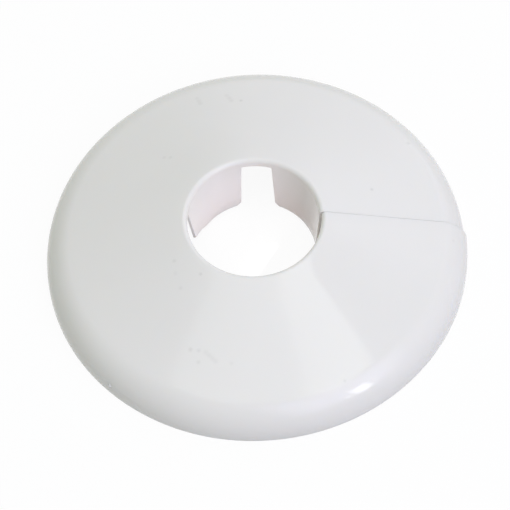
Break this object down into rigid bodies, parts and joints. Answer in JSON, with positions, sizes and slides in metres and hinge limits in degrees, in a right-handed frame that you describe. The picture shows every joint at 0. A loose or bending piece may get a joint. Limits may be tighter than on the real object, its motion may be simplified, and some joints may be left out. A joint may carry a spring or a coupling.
{
  "type": "radiator pipe collar",
  "caption": "Round white moulded collar that snaps round a radiator pipe through a radial split, with a shallow conical cover, a rounded rim and spring fingers under its central hole.",
  "frame": {"origin": "on the pipe's axis, in the plane of the rim's base, which lies on the floor or wall", "axes": "+Z along the pipe out of the cover's visible side, +X from the pipe's axis through the split"},
  "size_m": [0.0523, 0.0521, 0.0091],
  "materials": {
    "white_plastic": "glossy moulded white polypropylene"
  },
  "bodies": {
    "root": {"collar": "white_plastic"}
  },
  "joints": []
}
